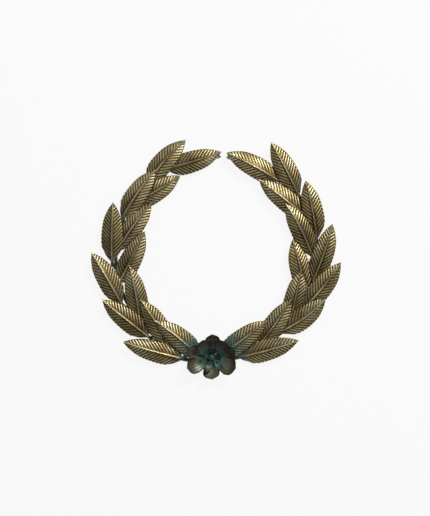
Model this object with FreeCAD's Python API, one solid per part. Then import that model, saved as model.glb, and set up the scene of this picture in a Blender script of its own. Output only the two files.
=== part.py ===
import FreeCAD, Part
import math
import os
from FreeCAD import Vector

# An open laurel wreath of sheet-brass leaves on two bent stem rods, lying face up on its back.
# Millimetres. +Z is up out of the face, +Y runs from the flower to the open ends.
# The origin is under the middle of the whole wreath, on the plane that the stems lie on.

os.makedirs("parts", exist_ok=True)

# ---- stems and open ends ----
RING_RADIUS = 90.5
RING_CENTRE = Vector(0.0, 2.5, 0.0)
STEM_RADIUS = 1.6
STEM_HEIGHT = STEM_RADIUS
LEFT_END_ANGLE = 88.8
RIGHT_END_ANGLE = 82.4
EYE_WIRE_RADIUS = 0.55
EYE_MEAN_RADIUS = 1.4
EYE_SHANK_LENGTH = 4.0
EYE_SHANK_PLAY = 0.05
EYE_BORE_SPARE = 0.3
EYE_TO_STEM = 2.3
LINK_WIRE_RADIUS = 0.35
LINK_MEAN_RADIUS = 1.2

# ---- leaves ----
LEAF_LENGTH = 52.5
LEAF_HALF_WIDTH = 9.6
LEAF_ARCH = 3.0
LEAF_ROOF_SLOPE = 0.30
LEAF_SHEET = 0.7
MIDRIB_HALF_WIDTH = 0.7
MIDRIB_HEIGHT = 0.35
# (fraction of the length, fraction of the half width)
LEAF_OUTLINE = [(0.0, 0.10), (0.12, 0.50), (0.28, 0.87), (0.46, 1.0), (0.66, 0.85), (0.85, 0.44), (1.0, 0.0)]

# No two leaves point alike, so each has its own row: tip x, tip y, heading in degrees.
# The rows run from the flower to the open end.
LEFT_LEAVES = [
    (-84.0, -74.0, 164),
    (-54.5, -55.0, 140),
    (-68.0, -36.0, 121),
    (-102.5, -36.0, 141),
    (-78.0, -5.0, 100),
    (-112.0, 6.5, 120),
    (-92.3, 51.5, 88.5),
    (-64.0, 25.5, 63),
    (-57.8, 51.5, 54),
    (-54.0, 80.8, 55),
    (-27.2, 107.5, 49),
    (-32.0, 75.5, 30),
    (5.0, 96.7, 16),
]
RIGHT_LEAVES = [
    (74.5, -72.5, 16),
    (46.0, -55.0, 37),
    (68.0, -35.5, 55),
    (98.5, -34.5, 36),
    (76.5, -8.5, 78),
    (112.0, -2.5, 51),
    (69.0, 18.5, 107),
    (104.5, 32.0, 71),
    (62.5, 50.5, 117),
    (80.5, 71.0, 101),
    (38.5, 72.0, 142),
    (49.4, 105.5, 118),
    (9.0, 96.2, 152),
]
# The leaves are laid one over another in this order, by number. Each may rise to its tip by one of these
# amounts and roll by one of these angles, and it takes the choice that keeps it lowest over those before it.
LEFT_LAYING_ORDER = [13, 11, 12, 9, 10, 8, 7, 5, 6, 4, 3, 1, 2]
RIGHT_LAYING_ORDER = [13, 12, 11, 10, 9, 7, 8, 5, 6, 4, 3, 1, 2]
LEAF_RISES = [5, 6, 7, 8, 9, 10]
LEAF_ROLLS = [-8, -4, 0, 4, 8]
# three lower leaves are rolled further, so that the root of the next one can sit low beside them
STRONG_ROLLS = {("left", 9): -9, ("right", 5): 9, ("right", 7): 9}
RISE_COST = 0.35
ROLL_COST = 0.03
LEAF_GAP = 0.45
LEAF_ABOVE_STEM = 0.4
LEAF_LOWEST_ROOT = 3.9
HEIGHT_STEP = 0.25
LAYING_CELL = 0.7
LAYING_STEPS_ALONG = 120
LAYING_STEPS_ACROSS = 20
STALK_RADIUS = 1.2
STALK_REACH = 9.0
STALK_INTO_LEAF = 1.5
STALK_UNDER_LEAF = 0.6
STALK_CLEAR_OF_FLOWER = 10.0

# ---- flower ----
FLOWER_ANGLE = 267.7
FLOWER_STEM_GAP = 5.0
NUT_RADIUS = 4.0
NUT_FLOOR = 0.8
PLATE_LENGTH = 16.0
PLATE_WIDTH = 7.0
PLATE_THICKNESS = 1.0
PLATE_SINK = 0.3
SCREW_RADIUS = 1.5
SCREW_PLAY = 0.05
BOSS_RADIUS = 5.5
BOSS_HEIGHT = 6.4
BUD_RADIUS = 3.6
BUD_HEIGHT = 6.5
BUD_SOCKET = 2.5
PETAL_SHEET = 0.6
PETAL_CUP_RADIUS = 16.0
PETAL_ROOT_RADIUS = 4.9
# (fraction of the length, fraction of the half width)
PETAL_OUTLINE = [(0.0, 0.32), (0.25, 0.74), (0.52, 1.0), (0.78, 0.80), (0.92, 0.34), (1.0, 0.0)]
# Petal rings: direction in degrees, length, half width, height of the root, tilt in degrees.
BACK_PETALS = [
    (90, 17.0, 5.7, 6.4, 22),
    (170, 19.5, 6.4, 6.2, 28),
    (14, 19.0, 6.4, 6.2, 30),
]
FRONT_PETALS = [
    (119, 17.0, 6.8, 9.0, 42),
    (203, 22.0, 6.2, 9.2, 30),
    (271, 16.0, 6.4, 8.0, 24),
    (336, 21.0, 7.3, 9.2, 30),
    (52, 18.0, 7.0, 9.0, 42),
]
INNER_PETALS = [
    (82, 9.5, 4.2, 11.2, 60),
    (160, 8.5, 3.2, 11.2, 60),
    (250, 12.0, 2.8, 10.8, 30),
    (306, 12.0, 2.8, 10.8, 30),
    (10, 8.5, 3.2, 11.2, 60),
]
INNER_ROOT_RADIUS = 3.2
INNER_CUP_RADIUS = 8.0

UP = Vector(0, 0, 1)


def save(name, shape):
    """Write one piece to its own STEP file."""
    shape.exportStep("parts/" + name + ".step")


def along(angle):
    """Unit vector in the ground plane, in degrees from +X."""
    return Vector(math.cos(math.radians(angle)), math.sin(math.radians(angle)), 0)


def on_ring(angle, height):
    """Point on the stems' circle."""
    return RING_CENTRE + along(angle) * RING_RADIUS + UP * height


def arc_degrees(distance):
    """Turn about the ring centre that covers a distance along the stems' circle."""
    return math.degrees(distance / RING_RADIUS)


def outline_prism(outline, length, half_width, low, high):
    """Upright prism whose plan is a leaf or petal outline from the root at 0 to the tip at length."""
    left = [Vector(part * length, width * half_width, low) for part, width in outline]
    right = [Vector(point.x, -point.y, low) for point in left]
    edges = []
    for side in (left, right):
        curve = Part.BSplineCurve()
        curve.interpolate(side)
        edges.append(curve.toShape())
    edges.append(Part.makeLine(left[0], right[0]))
    wire = Part.Wire(Part.__sortEdges__(edges))
    return Part.Face(wire).extrude(UP * (high - low))


def leaf_blade():
    """Roof-shaped sheet, arched along its length, with a raised midrib; root at the origin, tip on +X."""
    bend_radius = (LEAF_LENGTH ** 2 / 4 + LEAF_ARCH ** 2) / (2 * LEAF_ARCH)
    middle = LEAF_LENGTH / 2
    reach = LEAF_HALF_WIDTH + 2
    shoulder = MIDRIB_HALF_WIDTH * LEAF_ROOF_SLOPE

    def section(across, below_ridge):
        return Vector(middle, across, LEAF_ARCH - below_ridge)

    corner = reach * LEAF_ROOF_SLOPE
    rib_start = section(-MIDRIB_HALF_WIDTH, shoulder)
    rib_end = section(MIDRIB_HALF_WIDTH, shoulder)
    edges = [
        Part.makeLine(section(-reach, corner), rib_start),
        Part.Arc(rib_start, section(0, -MIDRIB_HEIGHT), rib_end).toShape(),
        Part.makeLine(rib_end, section(reach, corner)),
        Part.makeLine(section(reach, corner), section(reach, corner + LEAF_SHEET)),
        Part.makeLine(section(reach, corner + LEAF_SHEET), section(0, LEAF_SHEET)),
        Part.makeLine(section(0, LEAF_SHEET), section(-reach, corner + LEAF_SHEET)),
        Part.makeLine(section(-reach, corner + LEAF_SHEET), section(-reach, corner)),
    ]
    axis_point = Vector(middle, 0, LEAF_ARCH - bend_radius)
    half_turn = math.degrees(math.asin((middle + 3) / bend_radius))
    profile = Part.Face(Part.Wire(edges))
    profile.rotate(axis_point, Vector(0, 1, 0), -half_turn)
    sheet = profile.revolve(axis_point, Vector(0, 1, 0), 2 * half_turn)
    prism = outline_prism(LEAF_OUTLINE, LEAF_LENGTH, LEAF_HALF_WIDTH, -12, 12)
    return sheet.common(prism).Solids[0]


def leaf_placement(row):
    """Place of a leaf whose tip, heading, root height, rise and roll are given."""
    tip_x, tip_y, heading, root_height, rise, roll = row
    pitch = math.degrees(math.asin(rise / LEAF_LENGTH))
    turn = FreeCAD.Rotation(heading, -pitch, roll)
    direction = turn.multVec(Vector(1, 0, 0))
    tip = Vector(tip_x, tip_y, root_height + rise)
    return FreeCAD.Placement(tip - direction * LEAF_LENGTH, turn)


def blade_points():
    """Points spread over the top of a blade, in its own frame."""
    points = []
    for step in range(LAYING_STEPS_ALONG + 1):
        part = step / LAYING_STEPS_ALONG
        width = 0.0
        for (first, first_width), (last, last_width) in zip(LEAF_OUTLINE, LEAF_OUTLINE[1:]):
            if first <= part <= last:
                width = first_width + (last_width - first_width) * (part - first) / (last - first)
        arch = LEAF_ARCH * 4 * part * (1 - part)
        for side_step in range(-LAYING_STEPS_ACROSS, LAYING_STEPS_ACROSS + 1):
            across = LEAF_HALF_WIDTH * width * side_step / LAYING_STEPS_ACROSS
            points.append(Vector(LEAF_LENGTH * part, across, arch - LEAF_ROOF_SLOPE * abs(across)))
    return points


def footprint(row, points):
    """Lowest and highest point of a blade over each cell of the ground."""
    place = leaf_placement(row)
    cells = {}
    for point in points:
        spot = place.multVec(point)
        cell = (round(spot.x / LAYING_CELL), round(spot.y / LAYING_CELL))
        low, high = cells.get(cell, (spot.z, spot.z))
        cells[cell] = (min(low, spot.z), max(high, spot.z))
    return cells


def resting_height(cells, laid):
    """Height of the root at which a blade clears the stem and every blade already laid."""
    lowest = min(low for low, high in cells.values())
    height = max(LEAF_LOWEST_ROOT, 2 * STEM_RADIUS + LEAF_ABOVE_STEM + LEAF_SHEET - lowest)
    for other in laid:
        for cell in cells.keys() & other.keys():
            height = max(height, other[cell][1] - cells[cell][0] + LEAF_SHEET + LEAF_GAP)
    return height


def lay_leaves(side, leaves, order):
    """Rows of tip x, tip y, heading, root height, rise and roll, in the order of the leaves' numbers."""
    points = blade_points()
    laid = []
    rows = {}
    for number in order:
        tip_x, tip_y, heading = leaves[number - 1]
        rolls = LEAF_ROLLS
        if (side, number) in STRONG_ROLLS:
            rolls = [STRONG_ROLLS[(side, number)]]
        choices = []
        for rise in LEAF_RISES:
            for roll in rolls:
                cells = footprint((tip_x, tip_y, heading, 0, rise, roll), points)
                height = resting_height(cells, laid)
                cost = round(height + RISE_COST * rise + ROLL_COST * abs(roll), 6)
                choices.append((cost, rise, roll, height, cells))
        cost, rise, roll, height, cells = min(choices, key=lambda choice: choice[:3])
        height = math.ceil(height / HEIGHT_STEP) * HEIGHT_STEP
        laid.append({cell: (low + height, high + height) for cell, (low, high) in cells.items()})
        rows[number] = (tip_x, tip_y, heading, height, rise, roll)
    return [rows[number] for number in sorted(rows)]


def leaf_stalk(row, towards_open_end):
    """Bent wire from the middle of the stem to the underside of a leaf's root."""
    place = leaf_placement(row)
    direction = place.Rotation.multVec(Vector(1, 0, 0))
    down = place.Rotation.multVec(Vector(0, 0, -1))
    end = place.Base + direction * STALK_INTO_LEAF + down * STALK_UNDER_LEAF
    arm = place.Base - RING_CENTRE
    root_angle = math.degrees(math.atan2(arm.y, arm.x)) % 360
    from_flower = abs((root_angle - FLOWER_ANGLE + 180) % 360 - 180)
    step = min(arc_degrees(STALK_REACH), from_flower - arc_degrees(STALK_CLEAR_OF_FLOWER))
    start = on_ring(root_angle - towards_open_end * step, STEM_HEIGHT)
    chord = end - start
    chord_direction = Vector(chord).normalize()
    sideways = direction - chord_direction * direction.dot(chord_direction)
    bend = math.asin(min(1.0, sideways.Length))
    bulge = chord.Length / 2 * math.tan(bend / 2)
    middle = start + chord * 0.5 - sideways.normalize() * bulge
    path = Part.Arc(start, middle, end).toShape()
    start_direction = path.tangentAt(path.FirstParameter)
    circle = Part.Wire(Part.makeCircle(STALK_RADIUS, start, start_direction))
    return Part.Wire(path).makePipe(Part.Face(circle))


def stem(first_angle, last_angle, bore_angle, bore_direction):
    """Round rod bent to the ring, drilled at its open end for the shank of an eye."""
    centre = on_ring(first_angle, STEM_HEIGHT)
    tangent = UP.cross(along(first_angle))
    disc = Part.Face(Part.Wire(Part.makeCircle(STEM_RADIUS, centre, tangent)))
    rod = disc.revolve(RING_CENTRE, UP, last_angle - first_angle)
    start = on_ring(bore_angle, STEM_HEIGHT)
    bore_depth = EYE_MEAN_RADIUS + EYE_SHANK_LENGTH + EYE_BORE_SPARE
    bore = Part.makeCylinder(EYE_WIRE_RADIUS + EYE_SHANK_PLAY, bore_depth, start, bore_direction)
    return rod.cut(bore)


def end_eye(angle, stem_direction):
    """Wire loop with a straight shank that sits in the drilled stem end."""
    centre = on_ring(angle, STEM_HEIGHT)
    loop = Part.makeTorus(EYE_MEAN_RADIUS, EYE_WIRE_RADIUS, centre, UP)
    shank = Part.makeCylinder(EYE_WIRE_RADIUS, EYE_SHANK_LENGTH, centre + stem_direction * EYE_MEAN_RADIUS,
                              stem_direction)
    return loop.fuse(shank).removeSplitter().Solids[0]


def tie_ring(angle, outward):
    """Small upright ring that hangs round the wire of an eye."""
    centre = on_ring(angle, STEM_HEIGHT) + outward * EYE_MEAN_RADIUS
    return Part.makeTorus(LINK_MEAN_RADIUS, LINK_WIRE_RADIUS, centre, UP.cross(outward))


def petal(length, half_width, cup_radius, root_radius, direction, root_height, tilt, axis_point):
    """Cupped sheet petal with a small pointed tip, standing out from the flower's axis."""
    sag = cup_radius - math.sqrt(cup_radius ** 2 - length ** 2 / 4)
    centre = Vector(length / 2, 0, cup_radius - sag)
    outer = Part.makeSphere(cup_radius + PETAL_SHEET / 2, centre)
    inner = Part.makeSphere(cup_radius - PETAL_SHEET / 2, centre)
    prism = outline_prism(PETAL_OUTLINE, length, half_width, -cup_radius, cup_radius - sag)
    piece = outer.cut(inner).common(prism).Solids[0]
    turn = FreeCAD.Rotation(direction, -tilt, 0)
    base = axis_point + along(direction) * root_radius + UP * root_height
    piece.Placement = FreeCAD.Placement(base, turn)
    return piece


def turned(profile, axis_point):
    """Solid turned about the flower's axis from (radius, height) points."""
    points = [axis_point + Vector(radius, 0, height) for radius, height in profile]
    points.append(points[0])
    return Part.Face(Part.makePolygon(points)).revolve(axis_point, UP, 360)


def bud(axis_point, base_height):
    """Closed pointed bud with a socket for the end of the screw."""
    low = axis_point + UP * base_height
    side = Part.BSplineCurve()
    side.interpolate([
        low + Vector(BUD_RADIUS * 0.75, 0, 0),
        low + Vector(BUD_RADIUS, 0, BUD_HEIGHT * 0.35),
        low + Vector(BUD_RADIUS * 0.62, 0, BUD_HEIGHT * 0.75),
        low + Vector(0, 0, BUD_HEIGHT),
    ])
    top = low + UP * BUD_HEIGHT
    edges = [
        side.toShape(),
        Part.makeLine(top, low),
        Part.makeLine(low, low + Vector(BUD_RADIUS * 0.75, 0, 0)),
    ]
    body = Part.Face(Part.Wire(edges)).revolve(low, UP, 360)
    socket = Part.makeCylinder(SCREW_RADIUS + SCREW_PLAY, BUD_SOCKET, low, UP)
    return body.cut(socket)


def joining_plate(axis_point, bottom):
    """Plate that bridges the two stem ends and carries the flower."""
    corner = axis_point + Vector(-PLATE_LENGTH / 2, -PLATE_WIDTH / 2, bottom)
    plate = Part.makeBox(PLATE_LENGTH, PLATE_WIDTH, PLATE_THICKNESS, corner)
    upright = [edge for edge in plate.Edges if abs(edge.tangentAt(edge.FirstParameter).z) > 0.9]
    plate = plate.makeFillet(PLATE_WIDTH * 0.45, upright)
    hole = Part.makeCylinder(SCREW_RADIUS + SCREW_PLAY, PLATE_THICKNESS, axis_point + UP * bottom, UP)
    return plate.cut(hole)


def build_stems():
    flower_side = arc_degrees(FLOWER_STEM_GAP)
    eye_step = arc_degrees(EYE_TO_STEM)
    left_out = along(LEFT_END_ANGLE).cross(UP)
    right_out = UP.cross(along(RIGHT_END_ANGLE))
    left_last = LEFT_END_ANGLE + eye_step
    right_last = RIGHT_END_ANGLE - eye_step
    left = stem(left_last, FLOWER_ANGLE - flower_side, LEFT_END_ANGLE, left_out * -1)
    right = stem(FLOWER_ANGLE - 360 + flower_side, right_last, RIGHT_END_ANGLE, right_out * -1)
    save("left_stem", left)
    save("right_stem", right)
    save("left_end_eye", end_eye(LEFT_END_ANGLE, left_out * -1))
    save("right_end_eye", end_eye(RIGHT_END_ANGLE, right_out * -1))
    save("left_tie_ring", tie_ring(LEFT_END_ANGLE, left_out))
    save("right_tie_ring", tie_ring(RIGHT_END_ANGLE, right_out))


def build_branch(side, rows, towards_open_end):
    blade = leaf_blade()
    stalks = []
    for number, row in enumerate(rows, 1):
        leaf = blade.copy()
        leaf.Placement = leaf_placement(row)
        save(f"{side}_leaf_{number:02d}", leaf)
        stalks.append(leaf_stalk(row, towards_open_end))
    save(f"{side}_leaf_stalks", Part.makeCompound(stalks))


def build_flower():
    axis_point = on_ring(FLOWER_ANGLE, 0)
    plate_bottom = 2 * STEM_RADIUS - PLATE_SINK
    plate_top = plate_bottom + PLATE_THICKNESS
    boss_top = plate_top + BOSS_HEIGHT
    hole = SCREW_RADIUS + SCREW_PLAY
    save("joining_plate", joining_plate(axis_point, plate_bottom))
    save("flower_nut", turned([(0, 0), (NUT_RADIUS, 0), (NUT_RADIUS, plate_bottom), (hole, plate_bottom),
                               (hole, NUT_FLOOR), (0, NUT_FLOOR)], axis_point))
    save("flower_screw", Part.makeCylinder(SCREW_RADIUS, boss_top + BUD_SOCKET - 0.2 - NUT_FLOOR,
                                           axis_point + UP * NUT_FLOOR, UP))
    save("flower_boss", turned([(hole, plate_top), (BOSS_RADIUS * 0.8, plate_top), (BOSS_RADIUS, plate_top + 1),
                                (BOSS_RADIUS, boss_top - 1), (BOSS_RADIUS * 0.7, boss_top), (hole, boss_top)],
                               axis_point))
    save("flower_bud", bud(axis_point, boss_top))
    rings = [
        ("back_petal", BACK_PETALS, PETAL_CUP_RADIUS, PETAL_ROOT_RADIUS),
        ("front_petal", FRONT_PETALS, PETAL_CUP_RADIUS, PETAL_ROOT_RADIUS),
        ("inner_petal", INNER_PETALS, INNER_CUP_RADIUS, INNER_ROOT_RADIUS),
    ]
    for name, rows, cup_radius, root_radius in rings:
        for number, (direction, length, half_width, root_height, tilt) in enumerate(rows, 1):
            piece = petal(length, half_width, cup_radius, root_radius, direction, root_height, tilt, axis_point)
            save(f"{name}_{number}", piece)


build_stems()
build_branch("left", lay_leaves("left", LEFT_LEAVES, LEFT_LAYING_ORDER), -1)
build_branch("right", lay_leaves("right", RIGHT_LEAVES, RIGHT_LAYING_ORDER), 1)
build_flower()
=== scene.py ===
import math

import bpy
from mathutils import Matrix, Vector


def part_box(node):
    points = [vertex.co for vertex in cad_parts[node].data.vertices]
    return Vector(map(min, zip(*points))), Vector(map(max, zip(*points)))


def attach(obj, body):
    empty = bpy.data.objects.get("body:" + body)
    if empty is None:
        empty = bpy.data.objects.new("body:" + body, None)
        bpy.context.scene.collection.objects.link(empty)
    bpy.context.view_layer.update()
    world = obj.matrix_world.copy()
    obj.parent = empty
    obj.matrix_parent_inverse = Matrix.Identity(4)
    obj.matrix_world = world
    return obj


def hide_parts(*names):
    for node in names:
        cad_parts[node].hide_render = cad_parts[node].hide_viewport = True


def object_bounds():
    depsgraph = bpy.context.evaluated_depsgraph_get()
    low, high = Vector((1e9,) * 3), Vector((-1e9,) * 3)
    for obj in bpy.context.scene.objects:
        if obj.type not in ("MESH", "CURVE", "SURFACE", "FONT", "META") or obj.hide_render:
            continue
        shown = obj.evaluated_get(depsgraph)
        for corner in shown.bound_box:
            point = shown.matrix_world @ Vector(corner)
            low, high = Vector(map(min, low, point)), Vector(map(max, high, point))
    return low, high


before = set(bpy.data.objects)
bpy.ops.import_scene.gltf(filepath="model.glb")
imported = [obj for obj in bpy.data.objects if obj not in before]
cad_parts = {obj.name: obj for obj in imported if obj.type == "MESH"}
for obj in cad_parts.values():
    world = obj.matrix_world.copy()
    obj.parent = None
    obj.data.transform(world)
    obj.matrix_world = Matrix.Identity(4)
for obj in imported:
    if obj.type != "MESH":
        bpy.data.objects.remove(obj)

# A laurel wreath of veined sheet-brass leaves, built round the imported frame. Everything is in metres.
# The leaves and petals take their places, lengths and widths from the CAD nodes that they stand for.

MM = 0.001
cad_low, cad_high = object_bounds()

# ---- driving sizes of the visible detail ----
LEAF_SHEET = 0.55 * MM
LEAF_RIB_PITCH = 3.5 * MM
LEAF_RIB_LEAN = 0.80
LEAF_RIB_BEND = 0.28
LEAF_RIB_HEIGHT = 0.30 * MM
LEAF_MIDRIB_HEIGHT = 0.75 * MM
LEAF_MIDRIB_HALF_WIDTH = 1.15 * MM
LEAF_ROOF_SLOPE = 0.30
LEAF_PILLOW = 0.45 * MM
LEAF_ARCH = 3.0 * MM
LEAF_DENTS = 0.5 * MM
LEAF_SEED_STEP = 1.37
LEAF_RIM_SWELL = 0.5 * MM  # how far the rim stands out at a rib's end
LEAF_ROOT_REACH = 2.0 * MM  # how far the sheet runs back over its stalk
LEAF_FIRST_ROOT_REACH = 4.8 * MM  # the two leaves beside the flower run nearly up to it
LEAF_NECK_RADIUS = 1.5 * MM
LEAF_NECK_LENGTH = 10.0 * MM
LEAF_FIRST_NECK_STOUTNESS = 1.4  # the necks of those two leaves are this much thicker and longer
LEAF_STEPS_PER_RIB = 10  # steps of the mesh, fine enough to round each rib
LEAF_STEPS_ACROSS = 30
# The neck's two ends, as parts of its length: how far along the leaf from its root, and how far up.
NECK_BACK_ALONG, NECK_BACK_UP = -0.40, -0.17
NECK_FRONT_ALONG, NECK_FRONT_UP = 0.60, 0.06
NECK_STEPS = 14
NECK_SIDES = 14
# How far each leaf's midrib bows sideways in the sheet's own plane, in millimetres, towards its left.
LEAF_SWEEPS = {
    "left": [0.3, -1.6, -1.2, 0.0, -1.2, -0.4, 0.4, -0.5, 0.7, 1.2, 2.1, -1.0, -1.0],
    "right": [-0.8, -0.2, -0.7, -2.8, -0.2, -1.2, 1.2, -1.2, -1.8, -1.0, -0.4, -0.4, -1.2],
}

PETAL_SHEET = 0.5 * MM
PETAL_GROOVES = 6  # over the petal's whole width
PETAL_GROOVE_DEPTH = 0.04 * MM
PETAL_RAGGED = 0.12
PETAL_SEED_STEP = 2.1
PETAL_STEPS_ALONG = 72
PETAL_STEPS_ACROSS = 73
PETAL_CUP_RADIUS = 15.0 * MM
INNER_CUP_RADIUS = 7.5 * MM
# Each ring of petals: the start of its names, cup radius, how far the bloom reaches up it, and its fullness.
PETAL_RINGS = (
    ("back_petal", PETAL_CUP_RADIUS, 1.0, 1.0),
    ("front_petal", PETAL_CUP_RADIUS, 1.0, 1.0),
    ("inner_petal", INNER_CUP_RADIUS, 2.2, 0.90),
)

# The bud's scales, as parts of the bud's own width or height.
BUD_SCALES = 5
BUD_ROOT_RADIUS = 0.30
BUD_LEAN = 0.30
BUD_SCALE_LENGTH = 0.98
BUD_SCALE_HALF_WIDTH = 0.34
BUD_SCALE_CUP_RADIUS = 0.75
BUD_RAGGED = 0.05
BUD_BLOOM_REACH = 4.0
BUD_SEED_STEP = 3.3

END_SIZE = 1.2 * MM  # points this near a blade's corner make up its end
WELD_DISTANCE = 0.01 * MM

FLOOR_SIZE = 4.0
FLOOR_DROP = 0.2 * MM  # keeps the floor clear of the backs of the stems
FLOOR_GLOW = 0.90
SKY_STRENGTH = 0.085
CAMERA_HEIGHT = 1.6
CAMERA_VIEW_WIDTH = 0.389  # how much is seen at the height of the floor
CAMERA_OFFSET = (-0.9 * MM, 1.35 * MM)
SENSOR_WIDTH = 36.0
# The soft lights: name, place, size, power and colour.
LIGHTS = (
    ("key", (0.55, 0.68, 0.95), 0.34, 12.6, "#FFFCF4"),
    ("side_fill", (-0.75, 0.65, 1.0), 0.8, 2.2, "#EEF3FF"),
    ("front_fill", (0.1, -0.75, 1.1), 0.8, 2.6, "#F4F6FF"),
)


# ------------------------------------------------------------------ nodes and colours

def linear(code):
    """An sRGB hex colour as linear RGBA."""
    values = []
    for start in (1, 3, 5):
        part = int(code[start:start + 2], 16) / 255
        values.append(part / 12.92 if part <= 0.04045 else ((part + 0.055) / 1.055) ** 2.4)
    return (*values, 1.0)


def add(tree, kind, inputs=None, **settings):
    """Adds one node. An input is a plain value, a socket, or a node whose first output is used."""
    node = tree.nodes.new(kind)
    for name, value in settings.items():
        setattr(node, name, value)
    for key, value in (inputs or {}).items():
        if isinstance(value, bpy.types.Node):
            value = value.outputs[0]
        if isinstance(value, bpy.types.NodeSocket):
            tree.links.new(value, node.inputs[key])
        else:
            node.inputs[key].default_value = value
    return node


def shape_curve(node, points):
    """Puts given points on a Float Curve node."""
    curve = node.mapping.curves[0]
    while len(curve.points) < len(points):
        curve.points.new(0.5, 0.5)
    for point, (x, y) in zip(curve.points, points):
        point.location = (x, y)
    node.mapping.update()
    return node


def fill_ramp(node, stops):
    """Puts (place, hex colour) stops on a Color Ramp node."""
    ramp = node.color_ramp
    while len(ramp.elements) < len(stops):
        ramp.elements.new(0.5)
    for element, (place, code) in zip(ramp.elements, stops):
        element.position = place
        element.color = linear(code)
    return node


def new_material(name):
    """An empty material with its shader and output joined."""
    material = bpy.data.materials.new(name)
    material.use_nodes = True
    tree = material.node_tree
    tree.nodes.clear()
    shader = add(tree, "ShaderNodeBsdfPrincipled")
    add(tree, "ShaderNodeOutputMaterial", {"Surface": shader})
    return material, tree, shader


def finish_shader(tree, shader, colour, metallic, roughness, grain, strength, depth):
    """Joins a finish to its shader: a mixed colour, metallic, roughness, and a fine grain as bump."""
    bump = add(tree, "ShaderNodeBump", {"Height": grain, "Strength": strength, "Distance": depth})
    tree.links.new(colour.outputs[2], shader.inputs["Base Color"])
    tree.links.new(metallic.outputs[0], shader.inputs["Metallic"])
    tree.links.new(roughness.outputs[0], shader.inputs["Roughness"])
    tree.links.new(bump.outputs[0], shader.inputs["Normal"])


# ------------------------------------------------------------------ materials

def aged_leaf_brass(flower_axis):
    """Antiqued brass: rubbed pale on ribs and rims, umber in the grooves, blue-green near the root, and
    painted shade that darkens each leaf towards its root.
    """
    material, tree, shader = new_material("aged_leaf_brass")
    place = add(tree, "ShaderNodeTexCoord").outputs["Object"]
    relief = add(tree, "ShaderNodeAttribute", attribute_name="relief").outputs["Fac"]
    along = add(tree, "ShaderNodeAttribute", attribute_name="along").outputs["Fac"]
    blotch = add(tree, "ShaderNodeTexNoise", {"Vector": place, "Scale": 55.0, "Detail": 3.0})
    grain = add(tree, "ShaderNodeTexNoise", {"Vector": place, "Scale": 700.0, "Detail": 4.0})
    uneven = add(tree, "ShaderNodeMath", {0: blotch, 1: 0.60, 2: -0.30}, operation="MULTIPLY_ADD")
    fine = add(tree, "ShaderNodeMath", {0: grain, 1: 0.30, 2: uneven}, operation="MULTIPLY_ADD")
    rubbed = add(tree, "ShaderNodeTexNoise", {"Vector": place, "Scale": 85.0, "Detail": 2.0})
    contrast = add(tree, "ShaderNodeMapRange", {"Value": rubbed, "From Min": 0.34, "From Max": 0.62,
                                                "To Min": 0.44, "To Max": 0.86})
    spare = add(tree, "ShaderNodeMath", {0: contrast, 1: -0.50, 2: 0.36}, operation="MULTIPLY_ADD")
    base = add(tree, "ShaderNodeMath", {0: fine, 1: spare}, operation="ADD")
    # painted shade: darker towards each leaf's root and paler towards its tip, where the overlapping leaves
    # shade one another's roots
    base = add(tree, "ShaderNodeMath", {0: along, 1: 0.20, 2: base}, operation="MULTIPLY_ADD")
    base = add(tree, "ShaderNodeMath", {0: base, 1: 0.10}, operation="SUBTRACT")
    # this mixes the real rubbed wear on the crowns with the painted shade towards the root
    wear_and_shade = add(tree, "ShaderNodeMath", {0: relief, 1: contrast, 2: base}, operation="MULTIPLY_ADD",
               use_clamp=True)
    metal = fill_ramp(add(tree, "ShaderNodeValToRGB", {"Fac": wear_and_shade}), [
        (0.06, "#362B1A"), (0.28, "#5C4C2F"), (0.50, "#8B7B54"), (0.74, "#C3B68A"), (0.96, "#F3ECD3")])

    # the blue-green bloom lies in the grooves, thickest at the root and on the leaves beside the flower
    distance = add(tree, "ShaderNodeVectorMath", {0: place, 1: tuple(flower_axis)}, operation="DISTANCE")
    near_flower = add(tree, "ShaderNodeMapRange", {"Value": distance.outputs["Value"], "From Min": 0.036,
                                                   "From Max": 0.018, "To Max": 0.50})
    patch = add(tree, "ShaderNodeTexNoise", {"Vector": place, "Scale": 130.0, "Detail": 5.0})
    patch_level = add(tree, "ShaderNodeMath", {0: near_flower, 1: patch}, operation="ADD")
    near_root = add(tree, "ShaderNodeMapRange", {"Value": along, "From Min": 0.30, "From Max": 0.0,
                                                 "To Max": 0.20})
    patch_level = add(tree, "ShaderNodeMath", {0: patch_level, 1: near_root}, operation="ADD")
    hollow = add(tree, "ShaderNodeMath", {0: relief, 1: -0.25, 2: patch_level}, operation="MULTIPLY_ADD")
    verdigris = add(tree, "ShaderNodeMapRange", {"Value": hollow, "From Min": 0.50, "From Max": 0.74,
                                                 "To Max": 0.80})
    green = fill_ramp(add(tree, "ShaderNodeValToRGB", {"Fac": grain}), [(0.35, "#1C383D"), (0.65, "#457A78")])
    colour = add(tree, "ShaderNodeMix", {"Factor": verdigris, 6: metal, 7: green}, data_type="RGBA")
    metallic = add(tree, "ShaderNodeMapRange", {"Value": verdigris, "To Min": 1.0, "To Max": 0.35})
    rough = add(tree, "ShaderNodeMapRange", {"Value": wear_and_shade, "To Min": 0.58, "To Max": 0.38})
    finish_shader(tree, shader, colour, metallic, rough, grain, 0.35, 0.12 * MM)
    return material


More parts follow.
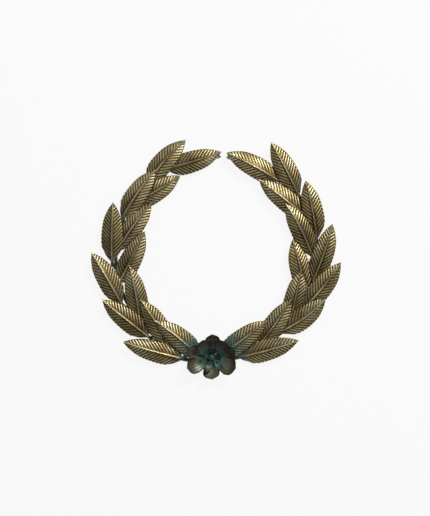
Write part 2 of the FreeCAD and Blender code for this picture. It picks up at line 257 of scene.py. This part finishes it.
def verdigris_brass(name, dark, green, brass, amount):
    """Dark brass rod and fixings under a blue-green bloom; dull, with a little bare metal in patches."""
    material, tree, shader = new_material(name)
    place = add(tree, "ShaderNodeTexCoord").outputs["Object"]
    blotch = add(tree, "ShaderNodeTexNoise", {"Vector": place, "Scale": 220.0, "Detail": 5.0})
    grain = add(tree, "ShaderNodeTexNoise", {"Vector": place, "Scale": 1100.0, "Detail": 3.0})
    mask = add(tree, "ShaderNodeMapRange", {"Value": blotch, "From Min": amount - 0.12,
                                            "From Max": amount + 0.12})
    crust = fill_ramp(add(tree, "ShaderNodeValToRGB", {"Fac": grain}), [(0.35, dark), (0.68, green)])
    colour = add(tree, "ShaderNodeMix", {"Factor": mask, 6: linear(brass), 7: crust}, data_type="RGBA")
    metallic = add(tree, "ShaderNodeMapRange", {"Value": mask, "To Min": 1.0, "To Max": 0.45})
    rough = add(tree, "ShaderNodeMapRange", {"Value": mask, "To Min": 0.38, "To Max": 0.62})
    finish_shader(tree, shader, colour, metallic, rough, grain, 0.3, 0.1 * MM)
    return material


def dark_petal_bronze():
    """Chemically darkened bronze petals: green-brown satin, near-black painted shade along the rims,
    blue-green at the root.
    """
    material, tree, shader = new_material("dark_petal_bronze")
    place = add(tree, "ShaderNodeTexCoord").outputs["Object"]
    relief = add(tree, "ShaderNodeAttribute", attribute_name="relief").outputs["Fac"]
    along = add(tree, "ShaderNodeAttribute", attribute_name="along").outputs["Fac"]
    blotch = add(tree, "ShaderNodeTexNoise", {"Vector": place, "Scale": 150.0, "Detail": 4.0})
    grain = add(tree, "ShaderNodeTexNoise", {"Vector": place, "Scale": 900.0, "Detail": 3.0})
    # relief carries the painted rim shade, so the tone falls to near-black along each petal's rim
    tone = add(tree, "ShaderNodeMath", {0: relief, 1: 0.42, 2: -0.28}, operation="MULTIPLY_ADD")
    wear_and_shade = add(tree, "ShaderNodeMath", {0: blotch, 1: 0.75, 2: tone}, operation="MULTIPLY_ADD",
               use_clamp=True)
    metal = fill_ramp(add(tree, "ShaderNodeValToRGB", {"Fac": wear_and_shade}), [
        (0.04, "#1E1B14"), (0.26, "#625E4C"), (0.52, "#847E6A"), (0.85, "#B0A480")])
    root = add(tree, "ShaderNodeMapRange", {"Value": along, "From Min": 0.62, "From Max": 0.05})
    level = add(tree, "ShaderNodeMath", {0: root, 1: 0.60, 2: blotch}, operation="MULTIPLY_ADD")
    verdigris = add(tree, "ShaderNodeMapRange", {"Value": level, "From Min": 0.66, "From Max": 1.04,
                                                 "To Max": 0.9})
    green = fill_ramp(add(tree, "ShaderNodeValToRGB", {"Fac": grain}), [(0.35, "#244746"), (0.68, "#4C807B")])
    colour = add(tree, "ShaderNodeMix", {"Factor": verdigris, 6: metal, 7: green}, data_type="RGBA")
    metallic = add(tree, "ShaderNodeMapRange", {"Value": verdigris, "To Min": 0.7, "To Max": 0.4})
    rough = add(tree, "ShaderNodeMapRange", {"Value": wear_and_shade, "To Min": 0.56, "To Max": 0.36})
    finish_shader(tree, shader, colour, metallic, rough, grain, 0.2, 0.08 * MM)
    return material


# ------------------------------------------------------------------ reading places from the frame

class Blade:
    """Root, tip, width and upward direction of a leaf or petal, read from its CAD node."""

    def __init__(self, node, centre, tip_is_farther):
        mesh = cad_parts[node].data
        points = [vertex.co.copy() for vertex in mesh.vertices]
        middle = sum(points, Vector()) / len(points)
        first = max(points, key=lambda point: (point - middle).length)
        second = max(points, key=lambda point: (point - first).length)
        ends = [self.end_near(points, first), self.end_near(points, second)]
        if tip_is_farther(ends[0], centre) > tip_is_farther(ends[1], centre):
            ends.reverse()
        self.root, self.tip = ends
        self.length = (self.tip - self.root).length
        self.x = (self.tip - self.root).normalized()
        up = Vector()
        for polygon in mesh.polygons:
            if polygon.normal.z > 0:
                up += polygon.normal * polygon.area
        self.y = up.cross(self.x).normalized()
        self.z = self.x.cross(self.y)
        self.half_width = max(abs((point - self.root).dot(self.y)) for point in points)

    @staticmethod
    def end_near(points, corner):
        """The middle of the points close to a corner."""
        near = [point for point in points if (point - corner).length < END_SIZE]
        return sum(near, Vector()) / len(near)

    def matrix(self):
        """Takes the blade's own frame, root at the origin and tip along +X, to its place."""
        turn = Matrix((self.x, self.y, self.z)).transposed().to_4x4()
        return Matrix.Translation(self.root) @ turn


def round_the_ring(point, centre):
    """How far round the wreath a point lies from the flower, as an angle."""
    return abs(math.atan2(point.x - centre.x, centre.y - point.y))


def from_the_axis(point, centre):
    """How far out from the flower's axis a point lies."""
    return (point.xy - centre.xy).length


# ------------------------------------------------------------------ sheet leaf and petal, by Geometry Nodes

def node_group(name, inputs):
    """A Geometry Nodes tree with named inputs, as (type, name) pairs."""
    tree = bpy.data.node_groups.new(name, "GeometryNodeTree")
    tree.interface.new_socket("Geometry", in_out="OUTPUT", socket_type="NodeSocketGeometry")
    for kind, label in inputs:
        tree.interface.new_socket(label, in_out="INPUT", socket_type="NodeSocket" + kind)
    return tree, add(tree, "NodeGroupInput").outputs


def keep_values(tree, geometry, relief, along):
    """Stores what the finishes read: relief, up to 1 on a crown (on a petal also brought down to 0 at the rim
    as painted shade), and along, from 0 at the root.
    """
    for label, value in (("relief", relief), ("along", along)):
        geometry = add(tree, "GeometryNodeStoreNamedAttribute", {"Geometry": geometry, "Name": label,
                                                                 "Value": value},
                       data_type="FLOAT", domain="POINT")
    return geometry


def close_sheet(tree, top, thickness, material, fitting=None):
    """Gives the open face a back and a rim, adds a closed fitting if there is one, and ends the tree."""
    turned = add(tree, "GeometryNodeFlipFaces", {"Mesh": top})
    back = add(tree, "GeometryNodeExtrudeMesh", {"Mesh": turned, "Offset Scale": thickness,
                                                 "Individual": False})
    both = add(tree, "GeometryNodeJoinGeometry")
    tree.links.new(top, both.inputs[0])
    tree.links.new(back.outputs[0], both.inputs[0])
    merged = add(tree, "GeometryNodeMergeByDistance", {"Geometry": both, "Distance": WELD_DISTANCE})
    whole = add(tree, "GeometryNodeJoinGeometry")
    tree.links.new(merged.outputs[0], whole.inputs[0])
    if fitting:
        tree.links.new(fitting.outputs[0], whole.inputs[0])
    smooth = add(tree, "GeometryNodeSetShadeSmooth", {"Geometry": whole})
    real = add(tree, "GeometryNodeRealizeInstances", {"Geometry": smooth})
    coated = add(tree, "GeometryNodeSetMaterial", {"Geometry": real, "Material": material})
    add(tree, "NodeGroupOutput", {0: coated})


def veined_leaf_tree():
    """A pointed leaf: arched, roof-shaped, with a midrib and leaning side ribs pressed into the sheet."""
    tree, given = node_group("veined_leaf", [
        ("Float", "Length"), ("Float", "Half Width"), ("Float", "Arch"), ("Float", "Sweep"),
        ("Float", "Roof"), ("Float", "Ribs"), ("Float", "Rib Lean"), ("Float", "Rib Bend"),
        ("Float", "Rib Height"), ("Float", "Midrib Height"), ("Float", "Midrib Half Width"),
        ("Float", "Neck Radius"), ("Float", "Neck Length"), ("Float", "Pillow"), ("Float", "Thickness"),
        ("Float", "Dents"), ("Float", "Seed"), ("Int", "Steps Along"), ("Int", "Steps Across"),
        ("Material", "Material")])
    grid = add(tree, "GeometryNodeMeshGrid", {"Size X": 1.0, "Size Y": 2.0,
                                              "Vertices X": given["Steps Along"],
                                              "Vertices Y": given["Steps Across"]})
    flat = add(tree, "ShaderNodeSeparateXYZ", {0: add(tree, "GeometryNodeInputPosition")})
    start = add(tree, "ShaderNodeMath", {0: flat.outputs["X"], 1: 0.5}, operation="ADD", use_clamp=True)
    side = add(tree, "ShaderNodeMath", {0: flat.outputs["Y"]}, operation="SIGN")
    out = add(tree, "ShaderNodeMath", {0: flat.outputs["Y"]}, operation="ABSOLUTE")
    edge = add(tree, "ShaderNodeMath", {0: out, 1: 1.5}, operation="POWER")

    outline = shape_curve(add(tree, "ShaderNodeFloatCurve", {"Value": start}), [
        (0.0, 0.30), (0.03, 0.69), (0.08, 0.94), (0.15, 1.0), (0.27, 0.99), (0.50, 0.87), (0.75, 0.52),
        (0.92, 0.18), (1.0, 0.0)])
    width = add(tree, "ShaderNodeMath", {0: outline, 1: given["Half Width"]}, operation="MULTIPLY")
    across = add(tree, "ShaderNodeMath", {0: edge, 1: width}, operation="MULTIPLY")
    straight = add(tree, "ShaderNodeMath", {0: start, 1: given["Length"]}, operation="MULTIPLY")
    lean = add(tree, "ShaderNodeMath", {0: edge, 1: given["Rib Bend"], 2: given["Rib Lean"]},
               operation="MULTIPLY_ADD")
    x = add(tree, "ShaderNodeMath", {0: across, 1: lean, 2: straight}, operation="MULTIPLY_ADD")
    along = add(tree, "ShaderNodeMath", {0: x, 1: given["Length"]}, operation="DIVIDE")
    rest = add(tree, "ShaderNodeMath", {0: 1.0, 1: along}, operation="SUBTRACT")
    product = add(tree, "ShaderNodeMath", {0: along, 1: rest}, operation="MULTIPLY")
    bow = add(tree, "ShaderNodeMath", {0: product, 1: 4.0}, operation="MULTIPLY")

    # side ribs: the grid's cross lines lean forward with them, so every rib is crisp
    stagger = add(tree, "ShaderNodeMath", {0: side, 1: 0.22, 2: given["Seed"]}, operation="MULTIPLY_ADD")
    turns = add(tree, "ShaderNodeMath", {0: start, 1: given["Ribs"], 2: stagger}, operation="MULTIPLY_ADD")
    angle = add(tree, "ShaderNodeMath", {0: turns, 1: math.tau}, operation="MULTIPLY")
    wave = add(tree, "ShaderNodeMath", {0: angle}, operation="COSINE")
    ridge = add(tree, "ShaderNodeMapRange", {"Value": wave, "From Min": -1.0, "From Max": 1.0})
    ridge = add(tree, "ShaderNodeMath", {0: ridge, 1: 0.85}, operation="POWER")
    reach = shape_curve(add(tree, "ShaderNodeFloatCurve", {"Value": edge}), [
        (0.0, 0.0), (0.10, 0.0), (0.26, 0.75), (0.50, 1.0), (0.8, 1.0), (1.0, 0.80)])
    fade = shape_curve(add(tree, "ShaderNodeFloatCurve", {"Value": outline}), [
        (0.0, 0.0), (0.15, 0.35), (0.45, 1.0), (1.0, 1.0)])
    part = add(tree, "ShaderNodeMath", {0: reach, 1: fade}, operation="MULTIPLY")
    rib = add(tree, "ShaderNodeMath", {0: ridge, 1: part}, operation="MULTIPLY")

    # midrib: a narrow rounded bead that thins towards the tip
    thin = add(tree, "ShaderNodeMath", {0: along, 1: -0.5, 2: 1.0}, operation="MULTIPLY_ADD")
    bead_width = add(tree, "ShaderNodeMath", {0: thin, 1: given["Midrib Half Width"]}, operation="MULTIPLY")
    away = add(tree, "ShaderNodeMath", {0: across, 1: bead_width}, operation="DIVIDE")
    square = add(tree, "ShaderNodeMath", {0: away, 1: away, 2: 1.0}, operation="MULTIPLY_ADD")
    bead = add(tree, "ShaderNodeMath", {0: square, 1: -1.6}, operation="POWER")

    # height
    noise_place = add(tree, "ShaderNodeCombineXYZ", {0: along, 1: flat.outputs["Y"], 2: given["Seed"]})
    noise = add(tree, "ShaderNodeTexNoise", {"Vector": noise_place, "Scale": 2.2, "Detail": 1.0})
    centred = add(tree, "ShaderNodeMath", {0: noise, 1: 0.5}, operation="SUBTRACT")
    z = add(tree, "ShaderNodeMath", {0: bow, 1: given["Arch"]}, operation="MULTIPLY")
    fall = add(tree, "ShaderNodeMath", {0: across, 1: given["Roof"]}, operation="MULTIPLY")
    z = add(tree, "ShaderNodeMath", {0: z, 1: fall}, operation="SUBTRACT")
    inside = add(tree, "ShaderNodeMath", {0: 1.0, 1: edge}, operation="SUBTRACT")
    pillow = add(tree, "ShaderNodeMath", {0: inside, 1: across}, operation="MULTIPLY")
    pillow = add(tree, "ShaderNodeMath", {0: pillow, 1: given["Half Width"]}, operation="DIVIDE")
    pillow = add(tree, "ShaderNodeMath", {0: pillow, 1: 4.0}, operation="MULTIPLY")
    z = add(tree, "ShaderNodeMath", {0: pillow, 1: given["Pillow"], 2: z}, operation="MULTIPLY_ADD")
    z = add(tree, "ShaderNodeMath", {0: rib, 1: given["Rib Height"], 2: z}, operation="MULTIPLY_ADD")
    z = add(tree, "ShaderNodeMath", {0: bead, 1: given["Midrib Height"], 2: z}, operation="MULTIPLY_ADD")
    z = add(tree, "ShaderNodeMath", {0: centred, 1: given["Dents"], 2: z}, operation="MULTIPLY_ADD")

    # plan: the rims swell a little at each rib's end
    rim = add(tree, "ShaderNodeMath", {0: edge, 1: 5.0}, operation="POWER")
    swell = add(tree, "ShaderNodeMath", {0: rim, 1: rib}, operation="MULTIPLY")
    wide = add(tree, "ShaderNodeMath", {0: swell, 1: LEAF_RIM_SWELL, 2: across}, operation="MULTIPLY_ADD")
    y = add(tree, "ShaderNodeMath", {0: wide, 1: side}, operation="MULTIPLY")
    y = add(tree, "ShaderNodeMath", {0: bow, 1: given["Sweep"], 2: y}, operation="MULTIPLY_ADD")
    place = add(tree, "ShaderNodeCombineXYZ", {0: x, 1: y, 2: z})

    relief = add(tree, "ShaderNodeMath", {0: rib, 1: 0.85, 2: bead}, operation="MULTIPLY_ADD", use_clamp=True)
    sheet = keep_values(tree, grid, relief, along)
    shaped = add(tree, "GeometryNodeSetPosition", {"Geometry": sheet, "Position": place})
    close_sheet(tree, shaped.outputs[0], given["Thickness"], given["Material"], rolled_neck(tree, given))
    return tree


def rolled_neck(tree, given):
    """The root of the sheet rolled round the end of its stalk: a closed tapered sleeve under the midrib."""
    ends = []
    for along, up in ((NECK_BACK_ALONG, NECK_BACK_UP), (NECK_FRONT_ALONG, NECK_FRONT_UP)):
        x = add(tree, "ShaderNodeMath", {0: given["Neck Length"], 1: along}, operation="MULTIPLY")
        z = add(tree, "ShaderNodeMath", {0: given["Neck Length"], 1: up}, operation="MULTIPLY")
        ends.append(add(tree, "ShaderNodeCombineXYZ", {0: x, 2: z}))
    line = add(tree, "GeometryNodeCurvePrimitiveLine", {"Start": ends[0], "End": ends[1]})
    line = add(tree, "GeometryNodeResampleCurve", {"Curve": line, "Count": NECK_STEPS})
    part = add(tree, "GeometryNodeSplineParameter").outputs["Factor"]
    taper = shape_curve(add(tree, "ShaderNodeFloatCurve", {"Value": part}), [
        (0.0, 0.55), (0.10, 0.85), (0.40, 1.0), (0.80, 0.55), (1.0, 0.12)])
    radius = add(tree, "ShaderNodeMath", {0: taper, 1: given["Neck Radius"]}, operation="MULTIPLY")
    hoop = add(tree, "GeometryNodeCurvePrimitiveCircle", {"Resolution": NECK_SIDES, "Radius": 1.0})
    sleeve = add(tree, "GeometryNodeCurveToMesh", {"Curve": line, "Profile Curve": hoop, "Scale": radius,
                                                   "Fill Caps": True})
    return keep_values(tree, sleeve, 0.25, 0.02)


def cupped_petal_tree():
    """A spoon-shaped petal with fine grooves fanning from the root and a ragged rim."""
    tree, given = node_group("cupped_petal", [
        ("Float", "Length"), ("Float", "Half Width"), ("Float", "Cup Radius"), ("Float", "Grooves"),
        ("Float", "Groove Depth"), ("Float", "Ragged"), ("Float", "Thickness"), ("Float", "Bloom Reach"),
        ("Float", "Seed"), ("Material", "Material")])
    grid = add(tree, "GeometryNodeMeshGrid", {"Size X": 1.0, "Size Y": 2.0, "Vertices X": PETAL_STEPS_ALONG,
                                              "Vertices Y": PETAL_STEPS_ACROSS})
    flat = add(tree, "ShaderNodeSeparateXYZ", {0: add(tree, "GeometryNodeInputPosition")})
    along = add(tree, "ShaderNodeMath", {0: flat.outputs["X"], 1: 0.5}, operation="ADD", use_clamp=True)
    outline = shape_curve(add(tree, "ShaderNodeFloatCurve", {"Value": along}), [
        (0.0, 0.46), (0.15, 0.66), (0.35, 0.87), (0.58, 1.0), (0.76, 0.90), (0.88, 0.60), (0.945, 0.22),
        (1.0, 0.0)])
    rag_place = add(tree, "ShaderNodeCombineXYZ", {0: along, 1: flat.outputs["Y"], 2: given["Seed"]})
    rag = add(tree, "ShaderNodeTexNoise", {"Vector": rag_place, "Scale": 7.0, "Detail": 2.0})
    rag = add(tree, "ShaderNodeMath", {0: rag, 1: 0.5}, operation="SUBTRACT")
    rag = add(tree, "ShaderNodeMath", {0: rag, 1: given["Ragged"], 2: 1.0}, operation="MULTIPLY_ADD")
    width = add(tree, "ShaderNodeMath", {0: outline, 1: rag}, operation="MULTIPLY")
    width = add(tree, "ShaderNodeMath", {0: width, 1: given["Half Width"]}, operation="MULTIPLY")
    y = add(tree, "ShaderNodeMath", {0: flat.outputs["Y"], 1: width}, operation="MULTIPLY")
    x = add(tree, "ShaderNodeMath", {0: along, 1: given["Length"]}, operation="MULTIPLY")
    half = add(tree, "ShaderNodeMath", {0: given["Length"], 1: 0.5}, operation="MULTIPLY")
    from_middle = add(tree, "ShaderNodeMath", {0: x, 1: half}, operation="SUBTRACT")

    # a spherical cup whose root and tip lie on the chord
    radius_2 = add(tree, "ShaderNodeMath", {0: given["Cup Radius"], 1: 2.0}, operation="POWER")
    x_2 = add(tree, "ShaderNodeMath", {0: from_middle, 1: from_middle}, operation="MULTIPLY")
    y_2 = add(tree, "ShaderNodeMath", {0: y, 1: y}, operation="MULTIPLY")
    half_2 = add(tree, "ShaderNodeMath", {0: half, 1: half}, operation="MULTIPLY")
    spread = add(tree, "ShaderNodeMath", {0: x_2, 1: y_2}, operation="ADD")
    under = add(tree, "ShaderNodeMath", {0: radius_2, 1: spread}, operation="SUBTRACT")
    depth = add(tree, "ShaderNodeMath", {0: under}, operation="SQRT")
    chord_under = add(tree, "ShaderNodeMath", {0: radius_2, 1: half_2}, operation="SUBTRACT")
    chord = add(tree, "ShaderNodeMath", {0: chord_under}, operation="SQRT")
    z = add(tree, "ShaderNodeMath", {0: chord, 1: depth}, operation="SUBTRACT")

    turns = add(tree, "ShaderNodeMath", {0: flat.outputs["Y"], 1: given["Grooves"]}, operation="MULTIPLY")
    angle = add(tree, "ShaderNodeMath", {0: turns, 1: math.tau}, operation="MULTIPLY")
    wave = add(tree, "ShaderNodeMath", {0: angle}, operation="COSINE")
    fade = shape_curve(add(tree, "ShaderNodeFloatCurve", {"Value": along}), [
        (0.0, 0.2), (0.3, 1.0), (0.75, 0.8), (1.0, 0.0)])
    groove = add(tree, "ShaderNodeMath", {0: wave, 1: fade}, operation="MULTIPLY")
    z = add(tree, "ShaderNodeMath", {0: groove, 1: given["Groove Depth"], 2: z}, operation="MULTIPLY_ADD")
    place = add(tree, "ShaderNodeCombineXYZ", {0: x, 1: y, 2: z})
    relief = add(tree, "ShaderNodeMapRange", {"Value": groove, "From Min": -1.0, "From Max": 1.0,
                                              "To Min": 0.6})
    # painted shade: the relief kept for the finish drops to 0 towards the rim, so each petal's edge is
    # painted near-black as shade
    rim = add(tree, "ShaderNodeMath", {0: flat.outputs["Y"]}, operation="ABSOLUTE")
    rim = add(tree, "ShaderNodeMath", {0: rim, 1: 9.0}, operation="POWER")
    relief = add(tree, "ShaderNodeMath", {0: relief, 1: rim}, operation="SUBTRACT", use_clamp=True)
    bloom = add(tree, "ShaderNodeMath", {0: along, 1: given["Bloom Reach"]}, operation="DIVIDE")
    sheet = keep_values(tree, grid, relief, bloom)
    shaped = add(tree, "GeometryNodeSetPosition", {"Geometry": sheet, "Position": place})
    close_sheet(tree, shaped.outputs[0], given["Thickness"], given["Material"])
    return tree


def grown(name, tree, values, place):
    """Runs a tree with its inputs set, keeps the result as a plain mesh, and puts it in its place."""
    holder = bpy.data.objects.new(name + "_tree", bpy.data.meshes.new(name + "_seed"))
    bpy.context.scene.collection.objects.link(holder)
    modifier = holder.modifiers.new("grow", "NODES")
    modifier.node_group = tree
    for item in tree.interface.items_tree:
        if item.in_out == "INPUT":
            modifier[item.identifier] = values[item.name]
    bpy.context.view_layer.update()
    evaluated = holder.evaluated_get(bpy.context.evaluated_depsgraph_get())
    mesh = bpy.data.meshes.new_from_object(evaluated)
    mesh.name = name
    holder.modifiers.remove(modifier)
    bpy.data.objects.remove(holder)
    mesh.transform(place)
    piece = bpy.data.objects.new(name, mesh)
    bpy.context.scene.collection.objects.link(piece)
    return piece


# ------------------------------------------------------------------ the wreath

ring_centre = Vector(((cad_low.x + cad_high.x) / 2, (cad_low.y + cad_high.y) / 2, 0))
flower_low, flower_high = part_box("flower_bud")
flower_axis = (flower_low + flower_high) / 2

leaf_brass = aged_leaf_brass(flower_axis)
petal_bronze = dark_petal_bronze()
rod_brass = verdigris_brass("verdigris_rod_brass", "#10272B", "#2F5F60", "#5A4A2A", 0.46)
fixing_brass = verdigris_brass("dull_fixing_brass", "#2A2414", "#4A4630", "#8A7444", 0.60)
eye_brass = verdigris_brass("worn_eye_brass", "#2A2112", "#3A3A28", "#B59A5E", 0.60)
ring_brass = verdigris_brass("blackened_ring_brass", "#15120C", "#232A26", "#5E5034", 0.42)


def make_leaves():
    """One veined leaf in place of each CAD leaf."""
    tree = veined_leaf_tree()
    for branch, sweeps in LEAF_SWEEPS.items():
        for number, sweep in enumerate(sweeps, 1):
            node = f"{branch}_leaf_{number:02d}"
            blade = Blade(node, ring_centre, round_the_ring)
            reach = LEAF_FIRST_ROOT_REACH if number == 1 else LEAF_ROOT_REACH
            blade.root -= blade.x * reach
            blade.length += reach
            ribs = blade.length / LEAF_RIB_PITCH
            stout = LEAF_FIRST_NECK_STOUTNESS if number == 1 else 1.0
            leaf = grown("veined_" + node, tree, {
                "Length": blade.length, "Half Width": blade.half_width, "Arch": LEAF_ARCH,
                "Sweep": sweep * MM, "Roof": LEAF_ROOF_SLOPE, "Ribs": ribs, "Rib Lean": LEAF_RIB_LEAN,
                "Rib Bend": LEAF_RIB_BEND,
                "Rib Height": LEAF_RIB_HEIGHT, "Midrib Height": LEAF_MIDRIB_HEIGHT,
                "Midrib Half Width": LEAF_MIDRIB_HALF_WIDTH,
                "Neck Radius": LEAF_NECK_RADIUS * stout, "Neck Length": LEAF_NECK_LENGTH * stout,
                "Pillow": LEAF_PILLOW, "Thickness": LEAF_SHEET, "Dents": LEAF_DENTS,
                "Seed": number * LEAF_SEED_STEP, "Steps Along": int(ribs * LEAF_STEPS_PER_RIB),
                "Steps Across": LEAF_STEPS_ACROSS,
                "Material": leaf_brass}, blade.matrix())
            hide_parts(node)
            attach(leaf, "wreath")


def make_petals():
    """One cupped petal in place of each CAD petal, and the bud."""
    tree = cupped_petal_tree()
    for ring, cup_radius, bloom_reach, fullness in PETAL_RINGS:
        nodes = sorted(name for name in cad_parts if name.startswith(ring))
        for number, node in enumerate(nodes, 1):
            blade = Blade(node, flower_axis, from_the_axis)
            petal = grown("cupped_" + node, tree, {
                "Length": blade.length, "Half Width": blade.half_width * fullness, "Cup Radius": cup_radius,
                "Grooves": PETAL_GROOVES / 2, "Groove Depth": PETAL_GROOVE_DEPTH,
                "Ragged": PETAL_RAGGED, "Thickness": PETAL_SHEET, "Bloom Reach": bloom_reach,
                "Seed": number * PETAL_SEED_STEP,
                "Material": petal_bronze}, blade.matrix())
            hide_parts(node)
            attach(petal, "wreath")
    make_bud(tree)


def make_bud(tree):
    """Closed bud: small cupped scales that lean together over the end of the screw."""
    size = flower_high - flower_low
    root_radius = size.x * BUD_ROOT_RADIUS
    scales = []
    for number in range(BUD_SCALES):
        turn = math.tau * number / BUD_SCALES
        outward = Vector((math.cos(turn), math.sin(turn), 0))
        root = Vector((flower_axis.x, flower_axis.y, flower_low.z)) + outward * root_radius
        rise = (Vector((0, 0, 1)) - outward * BUD_LEAN).normalized()
        sideways = (-outward).cross(rise).normalized()
        inward = rise.cross(sideways)
        place = Matrix.Translation(root) @ Matrix((rise, sideways, inward)).transposed().to_4x4()
        scales.append(grown(f"bud_scale_{number}", tree, {
            "Length": size.z * BUD_SCALE_LENGTH, "Half Width": size.x * BUD_SCALE_HALF_WIDTH,
            "Cup Radius": size.z * BUD_SCALE_CUP_RADIUS, "Grooves": PETAL_GROOVES / 2,
            "Groove Depth": PETAL_GROOVE_DEPTH, "Ragged": BUD_RAGGED, "Thickness": PETAL_SHEET,
            "Bloom Reach": BUD_BLOOM_REACH, "Seed": number * BUD_SEED_STEP, "Material": petal_bronze}, place))
    bpy.ops.object.select_all(action="DESELECT")
    for scale in scales:
        scale.select_set(True)
    bpy.context.view_layer.objects.active = scales[0]
    bpy.ops.object.join()
    closed_bud = scales[0]
    closed_bud.name = "closed_bud"
    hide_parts("flower_bud")
    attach(closed_bud, "wreath")


def coat(node, material):
    """Gives a CAD node that stays visible its finish."""
    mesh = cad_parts[node].data
    mesh.materials.clear()
    mesh.materials.append(material)


def coat_cad_nodes():
    for node in ("left_stem", "right_stem", "left_leaf_stalks", "right_leaf_stalks", "flower_boss",
                 "flower_screw"):
        coat(node, rod_brass)
    for node in ("joining_plate", "flower_nut"):
        coat(node, fixing_brass)
    for node in ("left_end_eye", "right_end_eye"):
        coat(node, eye_brass)
    for node in ("left_tie_ring", "right_tie_ring"):
        coat(node, ring_brass)


# ------------------------------------------------------------------ stage, light and camera

def make_floor():
    bpy.ops.mesh.primitive_plane_add(size=FLOOR_SIZE, location=(0, 0, -FLOOR_DROP))
    floor = bpy.context.object
    floor.name = "floor"
    material, tree, shader = new_material("pale_floor")
    shader.inputs["Base Color"].default_value = linear("#404040")
    shader.inputs["Roughness"].default_value = 0.9
    shader.inputs["Emission Color"].default_value = (1, 1, 1, 1)
    shader.inputs["Emission Strength"].default_value = FLOOR_GLOW
    floor.data.materials.append(material)


def make_light(name, place, size, power, colour):
    """A soft square light that faces the wreath."""
    data = bpy.data.lights.new(name, "AREA")
    data.size = size
    data.energy = power
    data.color = linear(colour)[:3]
    light = bpy.data.objects.new(name, data)
    light.location = place
    light.rotation_euler = (-Vector(place)).to_track_quat("-Z", "Y").to_euler()
    bpy.context.scene.collection.objects.link(light)


def make_studio():
    for name, place, size, power, colour in LIGHTS:
        make_light(name, place, size, power, colour)
    world = bpy.data.worlds.new("studio")
    world.use_nodes = True
    sky = world.node_tree.nodes["Background"]
    sky.inputs["Color"].default_value = linear("#FFFFFF")
    sky.inputs["Strength"].default_value = SKY_STRENGTH
    bpy.context.scene.world = world
    bpy.context.scene.view_settings.view_transform = "Standard"


def make_camera():
    """Straight above the face, from far enough to look nearly parallel."""
    data = bpy.data.cameras.new("camera")
    data.sensor_fit = "HORIZONTAL"
    data.sensor_width = SENSOR_WIDTH
    data.lens = SENSOR_WIDTH * CAMERA_HEIGHT / CAMERA_VIEW_WIDTH
    camera = bpy.data.objects.new("camera", data)
    camera.location = (*CAMERA_OFFSET, CAMERA_HEIGHT)
    bpy.context.scene.collection.objects.link(camera)
    bpy.context.scene.camera = camera


make_leaves()
make_petals()
coat_cad_nodes()
make_floor()
make_studio()
make_camera()
